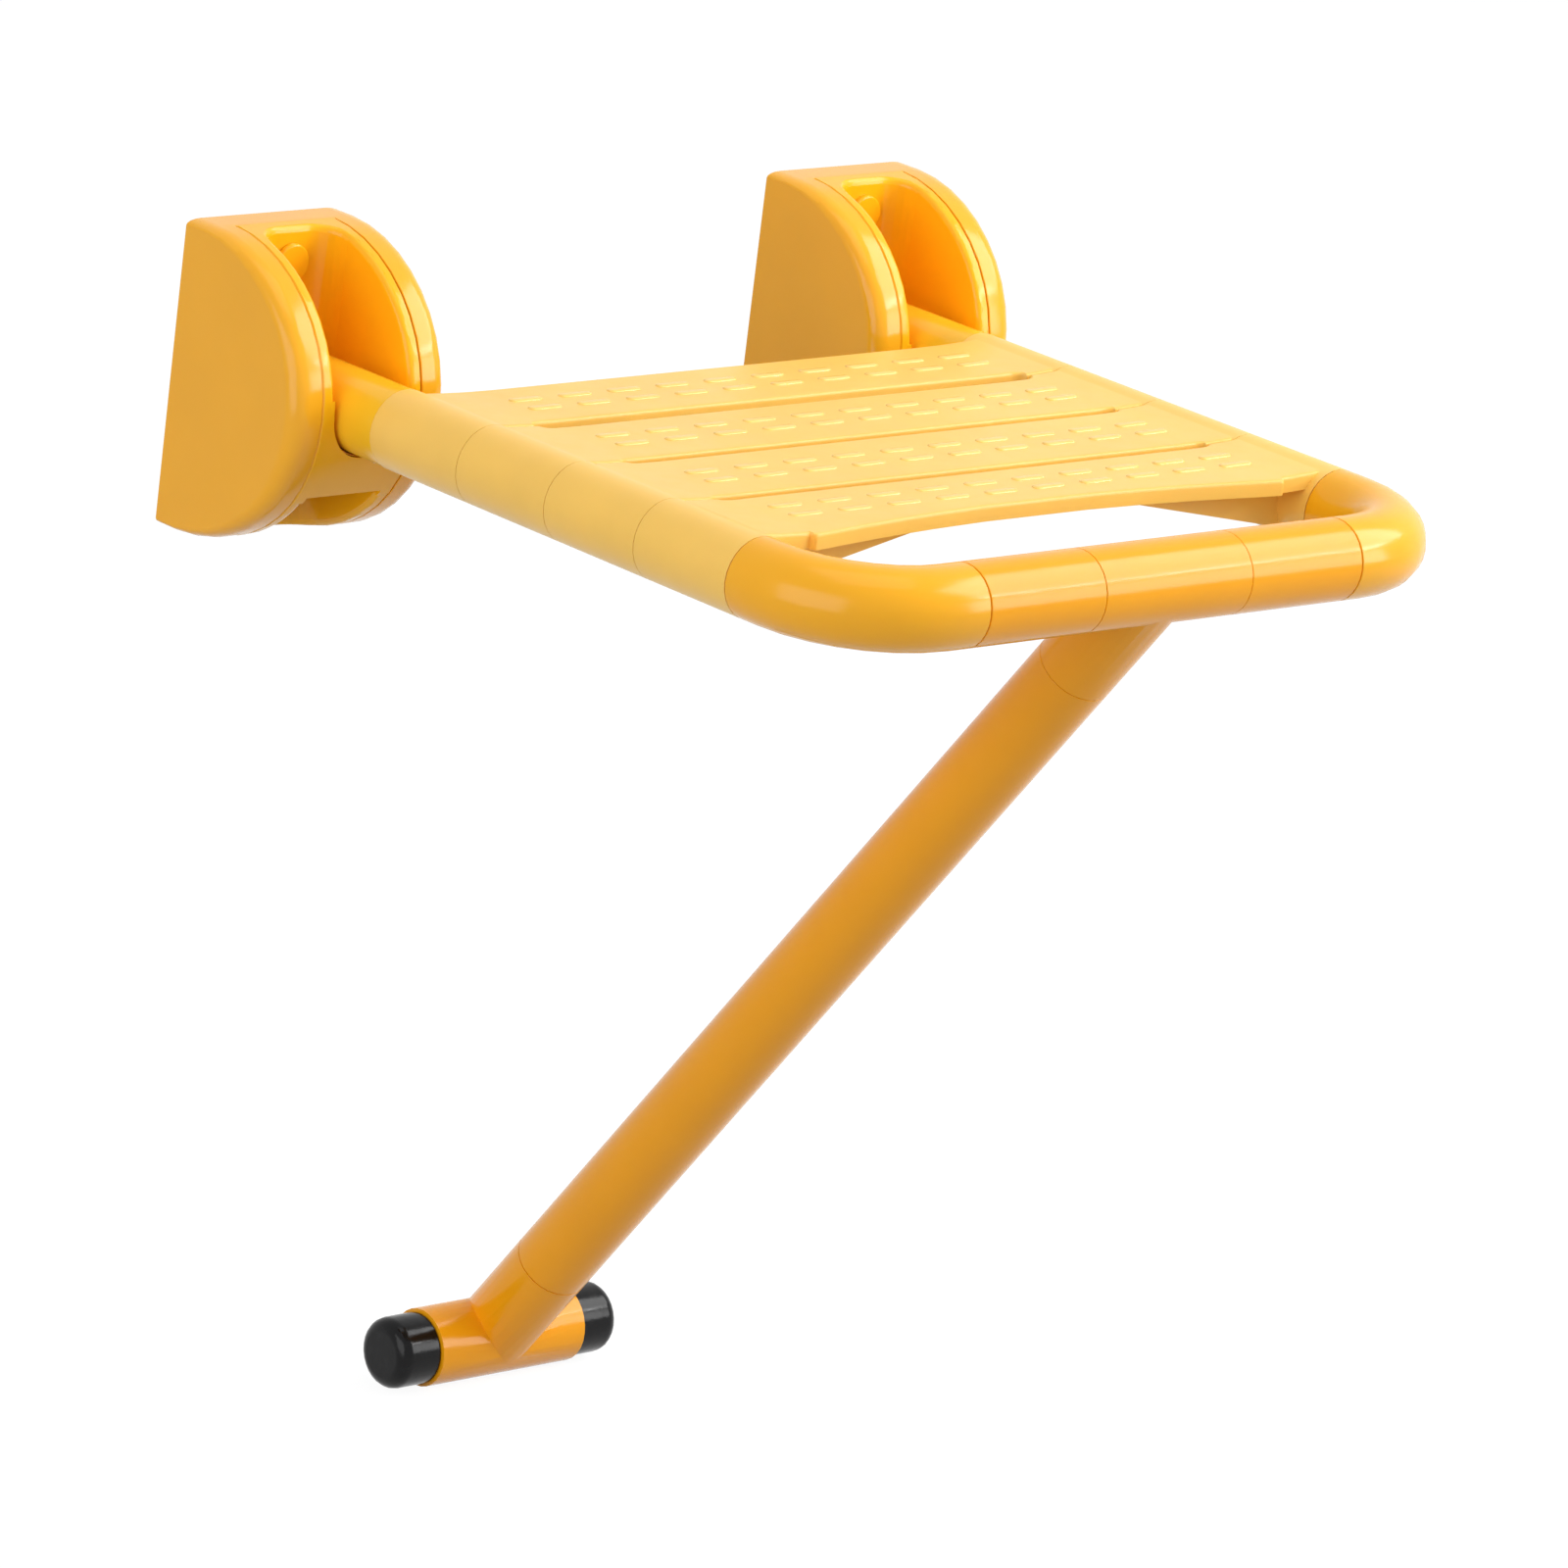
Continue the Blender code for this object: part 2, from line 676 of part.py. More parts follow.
def elbow(side, sign):
    centre = Vector((sign * (rail_x - elbow_bend), front_rail_y + elbow_bend, 0))
    reach = front_rail_y + elbow_reach - seat_gap / 2
    points = [Vector((sign * rail_x, reach, 0))]
    directions = [Vector((0, -1, 0))]
    for i in range(bend_steps + 1):
        turn = math.pi / 2 * i / bend_steps
        points.append(centre + elbow_bend * Vector((sign * math.cos(turn), -math.sin(turn), 0)))
        directions.append(Vector((-sign * math.sin(turn), -math.cos(turn), 0)))
    points.append(Vector((sign * (rail_x - elbow_reach + front_seam / 2), front_rail_y, 0)))
    directions.append(Vector((-sign, 0, 0)))
    mesh = pipe("elbow", points, directions, sleeve_radius, bore_radius, sides, (0, 0, 1))
    piece = new_object("elbow_" + side, mesh, joint_yellow, 0.24)
    smooth(piece)
    return piece


def front_sleeve(side, sign):
    near = sign * (tee_half + seat_gap / 2)
    far = sign * (rail_x - elbow_reach - front_seam / 2)
    path = [(near, front_rail_y, 0), (far, front_rail_y, 0)]
    mesh = pipe("sleeve", path, [(1, 0, 0)] * 2, sleeve_radius, bore_radius, sides, (0, 0, 1))
    piece = new_object("front_sleeve_" + side, mesh, sleeve_yellow, 0.26)
    smooth(piece)
    return piece


def slat_half_stations(number):
    """Distances from the middle at which a slat's section is given."""
    between = slat_flat_half - rib_flat_half
    stations = [rib_flat_half / 2, rib_flat_half]
    stations += [rib_flat_half + between / 3, rib_flat_half + between * 2 / 3, slat_flat_half]
    for i in range(slot_end_steps + 1):
        turn = math.pi / 2 * i / slot_end_steps
        stations.append(slot_half - slot_end + slot_end * math.sin(turn))
    rail_edge = rail_x - rail_edge_inset
    stations += [(slot_half + rail_edge) / 2, rail_edge, rail_x]
    if number == slat_count:
        for i in range(lip_end_steps + 1):
            turn = math.pi / 2 * i / lip_end_steps
            stations.append(front_lip_half - front_lip_round + front_lip_round * math.sin(turn))
        stations.append(front_lip_half + notch_side)
    return sorted(stations)


def slot_depth(x, recess):
    """How far a slat's edge steps back at a slot, with round slot ends."""
    start = slot_half - slot_end
    if x <= start:
        return recess
    if x >= slot_half:
        return crease
    share = (x - start) / slot_end
    return crease + (recess - crease) * math.sqrt(1 - share * share)


def top_height(x):
    """The top is flat in the middle and rises a little into the rails."""
    end = rail_x - rail_edge_inset
    if x <= slat_flat_half:
        return slat_top
    share = min(1.0, (x - slat_flat_half) / (end - slat_flat_half))
    return slat_top + slat_rim * share * share


def rib_bottom(x):
    """The ribs grow from shallow in the middle to deep at the rails."""
    end = rail_x - sleeve_radius
    share = min(1.0, max(0.0, (x - rib_flat_half) / (end - rib_flat_half)))
    return slat_top - slat_thickness - rib_least - rib_depth * share


def front_edge(x):
    """The front edge of the seat curves back towards its middle, and steps back at the rails."""
    if x > front_lip_half:
        return front_notch
    share = x / front_lip_half
    into_round = max(0.0, x - (front_lip_half - front_lip_round))
    corner = front_lip_round - math.sqrt(max(0.0, front_lip_round ** 2 - into_round ** 2))
    return front_middle + (front_ends - front_middle) * share * share + corner


def edge_steps_back(x, number):
    """How far a slat's rear and front edges lie inside its share of the seat."""
    rear = rear_edge_step if number == 1 else slot_depth(x, slot_recess)
    if number == 2:
        rear = slot_depth(x, rear_slot_recess)
    front = slot_depth(x, rear_slot_recess if number == 1 else slot_recess)
    if number == slat_count:
        front = front_edge(x)
    return rear, front


def slat_section(x, number):
    """One closed section of a slat across Y, with a thin top and two ribs."""
    reach = abs(x)
    rear_step, front_step = edge_steps_back(reach, number)
    rear = slats_rear_y - (number - 1) * slat_pitch - rear_step
    front = slats_rear_y - number * slat_pitch + front_step
    top = top_height(reach)
    under = top - slat_thickness
    rib = min(rib_bottom(reach), under - rib_least)
    r = edge_round
    c = r * (1 - math.sqrt(0.5))
    rear_rib = slats_rear_y - (number - 1) * slat_pitch - rib_inset
    front_rib = slats_rear_y - number * slat_pitch + rib_inset
    if number == slat_count:
        front_rib += front_middle + front_rib_behind - rib_inset
    a, b = front_rib, front_rib + rib_thickness
    d, e = rear_rib - rib_thickness, rear_rib
    outline = [(front, under), (a, under), (a, rib), (b, rib), (b, under),
               (d, under), (d, rib), (e, rib), (e, under), (rear, under),
               (rear, top - r), (rear - c, top - c), (rear - r, top),
               (front + r, top), (front + c, top - c), (front, top - r)]
    return [(x, y, z) for y, z in outline]


def slat(number):
    half = slat_half_stations(number)
    stations = [-x for x in reversed(half)] + half
    mesh = loft("slat", [slat_section(x, number) for x in stations])
    piece = new_object("slat_%d" % number, mesh, slat_yellow, 0.32)
    rear = slats_rear_y - (number - 1) * slat_pitch - seat_gap / 2
    front = slats_rear_y - number * slat_pitch + seat_gap / 2
    for sign in (-1, 1):
        x = sign * rail_x
        join(piece, rod("rail", (x, rear, 0), (x, front, 0), sleeve_radius))
    for sign in (-1, 1):
        x = sign * rail_x
        cut(piece, rod("bore", (x, rear + past, 0), (x, front - past, 0), bore_radius, bore_sides))
    smooth(piece, 30.0)
    return piece


def set_screw(name, surface, out):
    """A set screw in a sleeve's wall. It starts at the steel tube and ends just proud."""
    out = Vector(out)
    start = Vector(surface) + out * (core_radius + seat_gap / 2)
    end = Vector(surface) + out * (stub_radius + set_screw_proud)
    mesh = rod("set screw", start, end, set_screw_radius, set_screw_sides)
    piece = new_object(name, mesh, steel_grey, 0.3, 1.0)
    smooth(piece)
    return piece


def build_seat(parent):
    pieces = [frame_tube()]
    for side, sign in (("left", -1), ("right", 1)):
        pieces.append(hinge_arm(side, sign * rail_x))
        pieces.append(elbow(side, sign))
        pieces.append(front_sleeve(side, sign))
        place = (sign * rail_x, slats_rear_y + arm_screw_from_slats, 0)
        pieces.append(set_screw("arm_screw_" + side, place, (0, 0, -1)))
    for number in range(1, slat_count + 1):
        pieces.append(slat(number))
    for piece in pieces:
        keep_place(piece, parent)


# Brace leg

def leg_direction():
    return Vector((0, math.sin(leg_angle), -math.cos(leg_angle)))


def tee(name, centre, stub):
    """A short sleeve with a stub square to it. Its bores take a cross tube and the leg's tube."""
    centre, stub = Vector(centre), Vector(stub)
    across = Vector((tee_half - seat_gap / 2, 0, 0))
    mesh = rod("tee", centre - across, centre + across, sleeve_radius, sides, stub)
    piece = new_object(name, mesh, sleeve_yellow, 0.26)
    end = centre + stub * (tee_stub - seat_gap / 2)
    join(piece, rod("stub", centre, end, stub_radius, sides, (1, 0, 0)))
    through = across + Vector((past, 0, 0))
    cut(piece, rod("cross bore", centre - through, centre + through, bore_radius, bore_sides, stub))
    bore = [centre + stub * (leg_socket - seat_gap), centre + stub * (tee_stub + past)]
    cut(piece, rod("leg bore", bore[0], bore[1], bore_radius, bore_sides, (1, 0, 0)))
    side = stub.cross(Vector((1, 0, 0)))
    if side.y < 0:
        side = -side
    place = centre + stub * leg_screw_from_axis
    out = place + side * (stub_radius + past)
    cut(piece, rod("screw hole", place, out, set_screw_hole, set_screw_sides, (1, 0, 0)))
    smooth(piece)
    return piece, place, side


def leg_sleeve(top, down):
    path = [top + down * (tee_stub + seat_gap / 2), top + down * (leg_length - tee_stub - seat_gap / 2)]
    mesh = pipe("leg", path, [down] * 2, stub_radius, bore_radius, sides, (1, 0, 0))
    piece = new_object("leg_sleeve", mesh, sleeve_yellow, 0.26)
    smooth(piece)
    return piece


def leg_tube(top, down):
    path = [top + down * leg_socket, top + down * (leg_length - leg_socket)]
    mesh = pipe("tube", path, [down] * 2, core_radius, core_radius - core_wall, tube_sides, (1, 0, 0))
    piece = new_object("leg_tube", mesh, steel_grey, 0.35, 1.0)
    smooth(piece)
    return piece


def foot_tube(centre):
    half = Vector((tee_half + cap_length - foot_tube_short, 0, 0))
    mesh = pipe("foot", [centre - half, centre + half], [(1, 0, 0)] * 2, core_radius, core_radius - core_wall,
                tube_sides, leg_direction())
    piece = new_object("foot_tube", mesh, steel_grey, 0.35, 1.0)
    smooth(piece)
    return piece


def foot_cap(side, sign, centre):
    start = tee_half + seat_gap / 2
    end = tee_half + cap_length
    outline = [(bore_radius, start), (cap_radius - cap_lip, start), (cap_radius, start + cap_lip)]
    for i in range(edge_steps + 1):
        turn = math.pi / 2 * i / edge_steps
        radius = cap_radius - cap_round * (1 - math.cos(turn))
        outline.append((radius, end - cap_round * (1 - math.sin(turn))))
    outline += [(0, end), (0, end - cap_floor), (bore_radius, end - cap_floor), (bore_radius, start)]
    place = Matrix.Translation(centre) @ Matrix.Rotation(sign * math.pi / 2, 4, "Y")
    mesh = turned("cap", outline, place, sides)
    piece = new_object("foot_cap_" + side, mesh, rubber_black, 0.2)
    smooth(piece)
    return piece


def build_leg(parent):
    down = leg_direction()
    top = Vector((0, front_rail_y, 0))
    foot = top + down * leg_length
    upper, upper_place, upper_side = tee("leg_tee", top, down)
    lower, lower_place, lower_side = tee("foot_tee", foot, -down)
    pieces = [upper, lower, leg_sleeve(top, down), leg_tube(top, down), foot_tube(foot)]
    pieces.append(set_screw("leg_screw_upper", upper_place, upper_side))
    pieces.append(set_screw("leg_screw_lower", lower_place, lower_side))
    for side, sign in (("left", -1), ("right", 1)):
        pieces.append(foot_cap(side, sign, foot))
    for piece in pieces:
        keep_place(piece, parent)


def main():
    for old in list(bpy.data.objects):
        bpy.data.objects.remove(old)
    for side, sign in (("left", -1), ("right", 1)):
        build_bracket(side, sign)
    seat_axis = joint_axis("seat_axis", (0, -hinge_from_wall, 0))
    leg_axis = joint_axis("leg_axis", (0, front_rail_y, 0), seat_axis)
    build_seat(seat_axis)
    build_leg(leg_axis)


main()
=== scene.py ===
# %% [markdown]
# A folding shower bench in yellow nylon
#
# The real object hangs on a bathroom wall. Two half-round brackets carry a U-shaped frame, four
# slats make the seat, and one slanting leg with a short cross foot holds the front up. The seat
# folds up against the wall and the leg folds in under the seat.
#
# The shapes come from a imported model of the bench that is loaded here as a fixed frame. This
# lesson adds what that model can't show: soft moulded edges, the raised grip bars on the slats,
# the look of glossy nylon, brushed steel and rubber, and a small photo studio.

# %% Load the frame
import json
import math

import bmesh
import bpy
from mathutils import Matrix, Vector
from mathutils.bvhtree import BVHTree


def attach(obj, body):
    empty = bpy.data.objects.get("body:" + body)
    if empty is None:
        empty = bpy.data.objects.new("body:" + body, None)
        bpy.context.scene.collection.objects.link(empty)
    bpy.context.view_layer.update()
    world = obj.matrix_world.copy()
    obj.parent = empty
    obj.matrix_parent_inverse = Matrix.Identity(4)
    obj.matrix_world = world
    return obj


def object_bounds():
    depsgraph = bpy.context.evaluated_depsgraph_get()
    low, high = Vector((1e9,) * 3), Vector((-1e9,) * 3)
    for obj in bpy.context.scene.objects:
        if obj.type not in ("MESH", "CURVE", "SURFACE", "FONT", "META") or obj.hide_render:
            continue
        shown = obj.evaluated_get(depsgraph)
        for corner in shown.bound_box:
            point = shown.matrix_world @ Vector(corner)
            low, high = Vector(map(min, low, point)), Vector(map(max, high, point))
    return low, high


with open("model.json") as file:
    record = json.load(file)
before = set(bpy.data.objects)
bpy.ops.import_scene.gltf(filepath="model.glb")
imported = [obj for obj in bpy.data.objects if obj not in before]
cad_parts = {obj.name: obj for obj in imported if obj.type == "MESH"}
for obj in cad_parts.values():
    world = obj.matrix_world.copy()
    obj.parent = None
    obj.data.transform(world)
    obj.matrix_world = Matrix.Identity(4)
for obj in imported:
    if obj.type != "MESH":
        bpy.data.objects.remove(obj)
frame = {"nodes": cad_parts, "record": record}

cad_low, cad_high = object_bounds()
print("The bench measures, in millimetres:", [round(v * 1000, 1) for v in cad_high - cad_low])

# %% [markdown]
# The camera
#
# The photograph was taken from the front left and a little above, with a long lens, because
# parallel edges hardly draw together. A camera can be placed by eye, but matching many corners
# of the real bench is more exact. The values below come from such a match: a place in metres,
# three angles in degrees and a lens in millimetres. The camera was held a little tilted, which is
# what the middle angle gives back.

# %% Place the camera
CAMERA_PLACE = (-2.62921, -2.95145, 0.98029)
CAMERA_TURN = (73.4228, -6.8616, -41.5281)
CAMERA_LENS = 215.55
SENSOR_WIDTH = 36.0
NEAREST = 0.1
FARTHEST = 60.0

scene = bpy.context.scene
camera_data = bpy.data.cameras.new("studio_camera")
camera_data.lens = CAMERA_LENS
camera_data.sensor_width = SENSOR_WIDTH
camera_data.clip_start = NEAREST
camera_data.clip_end = FARTHEST
camera = bpy.data.objects.new("studio_camera", camera_data)
camera.location = CAMERA_PLACE
camera.rotation_euler = [math.radians(angle) for angle in CAMERA_TURN]
scene.collection.objects.link(camera)
scene.camera = camera
scene.view_settings.view_transform = "Standard"
print("Camera distance in metres:", round(camera.location.length, 2))

# %% [markdown]
# The studio's light
#
# A product photograph like this one uses large soft lamps, so that glossy nylon shows broad,
# calm highlights. The main lamp hangs at the upper right in front: the rounded front bands of the
# brackets and the front bar throw its light straight at the camera, which makes them so pale in
# the photograph. A low panel and a thin bright bar beside it draw the two crisp streaks along the
# front bar. A very large, weak lamp at the left lights the brackets' sides, and one more above
# fills the seat. Area lamps are the natural choice, because their size sets how soft a shadow is
# and how bright their mirror image looks. The world gives the rest as an even glow.

# %% Hang the lamps
AIM = Vector((0.0, -0.2, -0.1))

# Name, place in metres, width and height in metres, power in watts.
LAMPS = [
    ("lamp_above", (-0.1, -0.4, 1.7), 1.2, 1.2, 5.0),
    ("lamp_left", (-2.2, -0.7, 0.4), 2.0, 1.6, 24.0),
    ("lamp_key", (1.50, -1.05, 1.35), 1.6, 1.2, 36.0),
    ("lamp_panel", (1.50, -1.85, 0.35), 0.9, 0.8, 14.0),
    ("lamp_bar", (1.40, -1.40, 0.80), 0.7, 0.12, 4.0),
]


def add_lamp(name, place, width, height, power):
    """A soft rectangular lamp that faces the bench."""
    data = bpy.data.lights.new(name, "AREA")
    data.shape = "RECTANGLE"
    data.size = width
    data.size_y = height
    data.energy = power
    lamp = bpy.data.objects.new(name, data)
    lamp.location = place
    lamp.rotation_mode = "QUATERNION"
    lamp.rotation_quaternion = (AIM - lamp.location).to_track_quat("-Z", "Y")
    scene.collection.objects.link(lamp)


for name, place, width, height, power in LAMPS:
    add_lamp(name, place, width, height, power)
print("Lamps:", [lamp[0] for lamp in LAMPS])

# %% [markdown]
# The white world
#
# The background of the photograph is plain white. More light would bleach the yellow nylon, so
# the white comes from the world itself: the camera, mirrors and glass see it as white, while the
# bench gets only a soft glow from it. The light path node tells the two kinds of ray apart.

# %% Make the white world
WORLD_GLOW = 0.45
WORLD_WHITE = 1.0


def join_sockets(tree, pairs):
    """Joins sockets, given as pairs of output and input."""
    for output, socket in pairs:
        tree.links.new(output, socket)


def grey(level):
    return (level, level, level, 1.0)


def seen_directly(tree):
    """One where a ray comes from the camera, a mirror or glass, and nought elsewhere."""
    rays = tree.nodes.new("ShaderNodeLightPath")
    first = tree.nodes.new("ShaderNodeMath")
    second = tree.nodes.new("ShaderNodeMath")
    for larger in (first, second):
        larger.operation = "MAXIMUM"
    join_sockets(tree, [
        (rays.outputs["Is Camera Ray"], first.inputs[0]),
        (rays.outputs["Is Glossy Ray"], first.inputs[1]),
        (first.outputs[0], second.inputs[0]),
        (rays.outputs["Is Transmission Ray"], second.inputs[1]),
    ])
    return second.outputs[0]


def white_world():
    """A world that looks white and lights the bench only softly."""
    world = bpy.data.worlds.new("white_studio")
    world.use_nodes = True
    tree = world.node_tree
    tree.nodes.clear()
    glow = tree.nodes.new("ShaderNodeBackground")
    white = tree.nodes.new("ShaderNodeBackground")
    for shader, strength in ((glow, WORLD_GLOW), (white, WORLD_WHITE)):
        shader.inputs["Color"].default_value = grey(1.0)
        shader.inputs["Strength"].default_value = strength
    mix = tree.nodes.new("ShaderNodeMixShader")
    output = tree.nodes.new("ShaderNodeOutputWorld")
    join_sockets(tree, [
        (seen_directly(tree), mix.inputs[0]),
        (glow.outputs[0], mix.inputs[1]),
        (white.outputs[0], mix.inputs[2]),
        (mix.outputs[0], output.inputs["Surface"]),
    ])
    return world


scene.world = white_world()
print("World:", scene.world.name)

# %% [markdown]
# The floor
#
# A studio lays a pale sheet under the thing it photographs. Plain white paint would throw so much
# light back up that the nylon's undersides turned pale, so for bouncing light the sheet is a matt
# grey. Seen directly it glows white, with a little true shading left in it, and the bench still
# drops its faint shadow there.

# %% Lay the floor
FLOOR_HALF = 30.0
FLOOR_GAP = 0.0005
FLOOR_WHITE = 0.93
FLOOR_SHADE = 0.14
FLOOR_MATT = 0.35


def floor_paint():
    """A matt grey for the light that bounces, and a glowing white with faint shadows to look at."""
    material = bpy.data.materials.new("pale_floor")
    material.use_nodes = True
    tree = material.node_tree
    tree.nodes.clear()
    matt = tree.nodes.new("ShaderNodeBsdfDiffuse")
    matt.inputs["Color"].default_value = grey(FLOOR_MATT)
    faint = tree.nodes.new("ShaderNodeBsdfDiffuse")
    faint.inputs["Color"].default_value = grey(FLOOR_SHADE)
    glow = tree.nodes.new("ShaderNodeEmission")
    glow.inputs["Strength"].default_value = FLOOR_WHITE
    both = tree.nodes.new("ShaderNodeAddShader")
    mix = tree.nodes.new("ShaderNodeMixShader")
    output = tree.nodes.new("ShaderNodeOutputMaterial")
    join_sockets(tree, [
        (faint.outputs[0], both.inputs[0]),
        (glow.outputs[0], both.inputs[1]),
        (seen_directly(tree), mix.inputs[0]),
        (matt.outputs[0], mix.inputs[1]),
        (both.outputs[0], mix.inputs[2]),
        (mix.outputs[0], output.inputs["Surface"]),
    ])
    return material


floor_level = cad_low.z - FLOOR_GAP
corners = [(x * FLOOR_HALF, y * FLOOR_HALF, floor_level) for x, y in ((-1, -1), (1, -1), (1, 1), (-1, 1))]
floor_mesh = bpy.data.meshes.new("floor")
floor_mesh.from_pydata(corners, [], [(0, 1, 2, 3)])
floor = bpy.data.objects.new("floor", floor_mesh)
floor_mesh.materials.append(floor_paint())
scene.collection.objects.link(floor)
print("The floor lies at", round(floor_level * 1000, 1), "mm")

# %% [markdown]
# Glossy nylon
#
# Every yellow piece is injection-moulded nylon, and most of them sit on a steel tube. Close up
# nylon is never one flat colour: the dye is a little cloudy, the skin has a faint ripple from the
# mould, and the gloss changes where hands and water have been. A picture could be wrapped round
# the pieces, but a procedural finish needs no seams and keeps its scale on every piece. So each
# finish here is made from noise in the object's own coordinates, in metres. The helpers below
# are the few kinds of pattern that all the finishes share.

# %% Build the pattern helpers
def add_noise(tree, place, scale, detail, rough=0.5):
    """A noise pattern whose scale is in ripples per metre."""
    noise = tree.nodes.new("ShaderNodeTexNoise")
    noise.inputs["Scale"].default_value = scale
    noise.inputs["Detail"].default_value = detail
    noise.inputs["Roughness"].default_value = rough
    tree.links.new(place, noise.inputs["Vector"])
    return noise.outputs["Fac"]


def add_range(tree, value, low, high, start=0.3, end=0.7):
    """Turns a pattern's usual span into a span between two numbers."""
    spread = tree.nodes.new("ShaderNodeMapRange")
    for name, number in (("From Min", start), ("From Max", end), ("To Min", low), ("To Max", high)):
        spread.inputs[name].default_value = number
    tree.links.new(value, spread.inputs["Value"])
    return spread.outputs["Result"]


def add_tint(tree, value, dark, light):
    """Blends two colours by a pattern."""
    mix = tree.nodes.new("ShaderNodeMix")
    mix.data_type = "RGBA"
    mix.inputs["A"].default_value = (*dark, 1.0)
    mix.inputs["B"].default_value = (*light, 1.0)
    tree.links.new(value, mix.inputs["Factor"])
    return mix.outputs["Result"]


def add_bump(tree, height, depth, strength, below=None):
    """Raises the surface by a pattern. Bumps can be stacked on each other."""
    bump = tree.nodes.new("ShaderNodeBump")
    bump.inputs["Strength"].default_value = strength
    bump.inputs["Distance"].default_value = depth
    tree.links.new(height, bump.inputs["Height"])
    if below is not None:
        tree.links.new(below, bump.inputs["Normal"])
    return bump.outputs["Normal"]


def start_finish(name):
    """A new finish with its shader and the object's own coordinates."""
    material = bpy.data.materials.new(name)
    material.use_nodes = True
    tree = material.node_tree
    shader = tree.nodes["Principled BSDF"]
    place = tree.nodes.new("ShaderNodeTexCoord").outputs["Object"]
    return material, tree, shader, place


print("Pattern helpers:", [helper.__name__ for helper in (add_noise, add_range, add_tint, add_bump)])

# %% [markdown]
# The nylon mixes
#
# The photograph shows several yellows. The slats are pale and satin, the arms a clear yellow, and
# the sleeves, elbows and brackets a deeper, glossier one. One function mixes them all, and a table
# holds what differs. The light that wanders inside nylon before it leaves is a touch of subsurface
# scattering, which is redder the deeper it goes.

# %% Mix the nylon
# Scales are in ripples per metre, depths in metres.
DYE_SCALE = 28.0
RUB_SCALE = 75.0
RUB_CONTRAST = 0.6
RUB_POLISH = 0.02
RUB_WEAR = 0.04
SKIN_SCALE = 120.0
SKIN_DEPTH = 0.0004
GRAIN_SCALE = 1400.0
GRAIN_DEPTH = 0.0001
INNER_SHARE = 0.08
INNER_COLOUR = (1.0, 0.45, 0.12)
INNER_DEPTH = 0.004


def moulded_nylon(name, colour, roughness, shine, cloud=0.02, ripple=0.06, grain=0.03):
    """Nylon with a cloudy dye, a rippled skin and a fine grain."""
    material, tree, shader, place = start_finish(name)
    dark = [c * (1 - cloud) for c in colour]
    light = [min(1.0, c * (1 + cloud)) for c in colour]
    clouds = add_range(tree, add_noise(tree, place, DYE_SCALE, 3.0), 0.0, 1.0)
    rubs = add_noise(tree, place, RUB_SCALE, 4.0, RUB_CONTRAST)
    dull = add_range(tree, rubs, roughness - RUB_POLISH, roughness + RUB_WEAR)
    skin = add_bump(tree, add_noise(tree, place, SKIN_SCALE, 2.0), SKIN_DEPTH, ripple)
    fine = add_bump(tree, add_noise(tree, place, GRAIN_SCALE, 2.0), GRAIN_DEPTH, grain, skin)
    join_sockets(tree, [
        (add_tint(tree, clouds, dark, light), shader.inputs["Base Color"]),
        (dull, shader.inputs["Roughness"]),
        (fine, shader.inputs["Normal"]),
    ])
    shader.inputs["Specular IOR Level"].default_value = shine
    shader.inputs["Subsurface Weight"].default_value = INNER_SHARE
    shader.inputs["Subsurface Radius"].default_value = INNER_COLOUR
    shader.inputs["Subsurface Scale"].default_value = INNER_DEPTH
    return material


# Colour, roughness and shine, and on the slats also cloud, ripple and grain.
NYLON = {
    "slat_nylon": ((0.96, 0.58, 0.110), 0.34, 0.45, 0.03, 0.18, 0.06),
    # The bars' colour is a touch paler than the slats': a painted highlight on their domes, on top of
    # their real gloss.
    "bar_nylon": ((0.96, 0.60, 0.130), 0.20, 0.60, 0.03, 0.10, 0.03),
    "sleeve_nylon": ((0.95, 0.39, 0.006), 0.18, 0.23),
    "joint_nylon": ((0.95, 0.44, 0.010), 0.18, 0.30),
    "arm_nylon": ((0.96, 0.53, 0.020), 0.18, 0.32),
    "cover_nylon": ((0.95, 0.44, 0.016), 0.15, 0.30),
    "core_nylon": ((0.97, 0.48, 0.008), 0.15, 0.26),
    "pad_nylon": ((0.92, 0.38, 0.010), 0.36, 0.30),
}
nylon = {kind: moulded_nylon(kind + "_finish", *mix) for kind, mix in NYLON.items()}
print("Nylon finishes:", sorted(nylon))

# %% [markdown]
# Steel and rubber
#
# Under the nylon runs a drawn steel tube, seen only as a dark line in the joints and at the
# foot. Its grey is kept dark, partly as painted shade that deepens those joint lines. The wall
# plates and screws are brushed stainless steel. Brushing leaves long fine scratches, so its
# noise is squeezed in one direction. The foot's end caps are black rubber with a soft shine,
# moulded smooth and a little scuffed.

# %% Brush the steel
SCRATCH_SCALE = 60.0
SCRATCH_DEPTH = 0.0001
SCRATCH_SHADE = 0.85
ALONG_Z = (1.0, 1.0, 14.0)
ALONG_X = (14.0, 1.0, 1.0)


def brushed_steel(name, colour, roughness, squeeze):
    """Steel with fine scratches, crowded together along one axis."""
    material, tree, shader, place = start_finish(name)
    stretch = tree.nodes.new("ShaderNodeMapping")
    stretch.inputs["Scale"].default_value = squeeze
    tree.links.new(place, stretch.inputs["Vector"])
    scratches = add_noise(tree, stretch.outputs["Vector"], SCRATCH_SCALE, 5.0, 0.7)
    dark = [c * SCRATCH_SHADE for c in colour]
    join_sockets(tree, [
        (add_tint(tree, scratches, dark, colour), shader.inputs["Base Color"]),
        (add_range(tree, scratches, roughness - 0.06, roughness + 0.08), shader.inputs["Roughness"]),
        (add_bump(tree, scratches, SCRATCH_DEPTH, 0.15), shader.inputs["Normal"]),
    ])
    shader.inputs["Metallic"].default_value = 1.0
    return material


